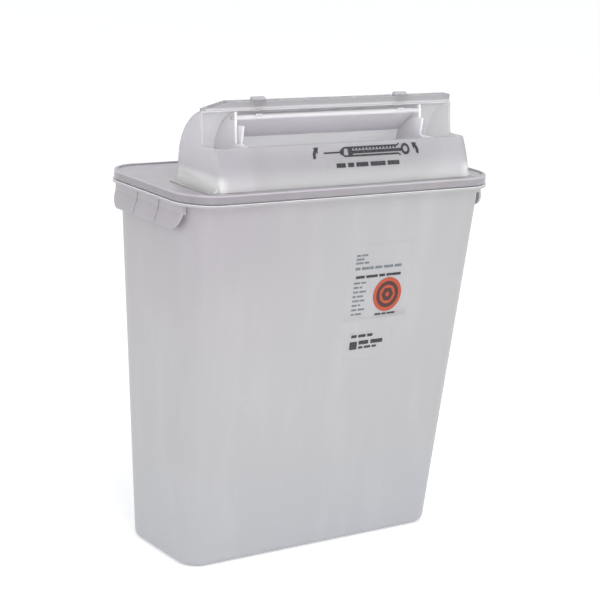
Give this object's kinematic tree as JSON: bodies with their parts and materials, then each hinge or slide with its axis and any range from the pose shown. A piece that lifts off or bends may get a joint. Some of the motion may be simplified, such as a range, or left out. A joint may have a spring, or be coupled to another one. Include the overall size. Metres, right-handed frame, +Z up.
{
  "type": "sharps container",
  "caption": "Tall tapered sharps container with a press-on lid, clear hood, counterbalanced drop tray, closing door and push-in lock buttons, for used needles and syringes.",
  "frame": {"origin": "centre of the tub's footprint, on the surface it stands on", "axes": "+Z up; X along the long side; the hood's mouth and the labels face -Y"},
  "size_m": [0.3492, 0.158, 0.429],
  "materials": {
    "tub_plastic": "frosted translucent polypropylene",
    "lid_plastic": "frosted translucent polypropylene",
    "hood_plastic": "clear, slightly milky polypropylene",
    "tray_plastic": "milky polypropylene",
    "weight_steel": "ground bar",
    "label_film": "clear self-adhesive film",
    "sticker_film": "orange-red printed film"
  },
  "bodies": {
    "tub": {"container_body": "tub_plastic", "info_label": "label_film", "round_sticker": "sticker_film", "batch_label": "label_film"},
    "lid": {"lid_frame": "lid_plastic", "hood": "hood_plastic", "bearing_plate_right": "hood_plastic", "bearing_plate_left": "hood_plastic", "door_hinge_rod": "weight_steel"},
    "tray": {"drop_tray": "tray_plastic", "tray_pin_right": "tray_plastic", "tray_pin_left": "tray_plastic", "counterweight_rod": "weight_steel", "weight_plug_right": "tray_plastic", "weight_plug_left": "tray_plastic"},
    "door": {"closure_door": "tray_plastic"},
    "button_right": {"lock_button_right": "hood_plastic"},
    "button_left": {"lock_button_left": "hood_plastic"}
  },
  "joints": [
    {"name": "lid_lift", "type": "slide", "parent": "tub", "child": "lid", "axis": [0, 0, 1], "range_m": [0, 0.1]},
    {"name": "tray_tip", "type": "hinge", "parent": "lid", "child": "tray", "pos_m": [0, -0.04, 0.372], "axis": [-1, 0, 0], "range_deg": [0, 60]},
    {"name": "door_close", "type": "hinge", "parent": "lid", "child": "door", "pos_m": [0, -0.0315, 0.4108], "axis": [-1, 0, 0], "range_deg": [0, 95]},
    {"name": "button_right_push", "type": "slide", "parent": "lid", "child": "button_right", "axis": [0, 0, -1], "range_m": [0, 0.003]},
    {"name": "button_left_push", "type": "slide", "parent": "lid", "child": "button_left", "axis": [0, 0, -1], "range_m": [0, 0.003]}
  ]
}
